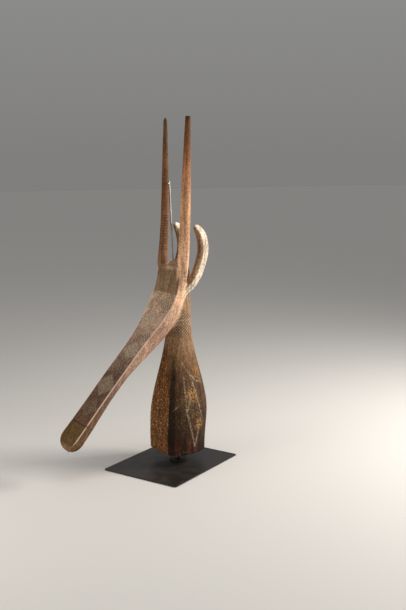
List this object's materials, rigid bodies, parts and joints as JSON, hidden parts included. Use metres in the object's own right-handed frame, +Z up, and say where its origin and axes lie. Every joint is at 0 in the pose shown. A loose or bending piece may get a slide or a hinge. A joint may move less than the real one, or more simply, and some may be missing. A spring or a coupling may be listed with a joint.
{
  "type": "carved antelope headdress",
  "caption": "Wooden antelope headdress with a hollow bell, long lowered muzzle, upright horns and curled ears, held on a thin steel display stand.",
  "frame": {"origin": "on the ground, on the underside of the foot plate, below the middle of the bell", "axes": "+Z up along the horns, -Y towards the tip of the muzzle, +X to the animal's left"},
  "size_m": [0.4544, 0.674, 1.274],
  "materials": {
    "aged_wood": "matt, weathered, dusty",
    "plate_steel": "satin dark lacquer",
    "rod_steel": "dull bare steel"
  },
  "bodies": {
    "root": {"carved_headdress": "aged_wood", "foot_plate": "plate_steel", "support_post": "plate_steel", "back_rod": "rod_steel"}
  },
  "joints": []
}
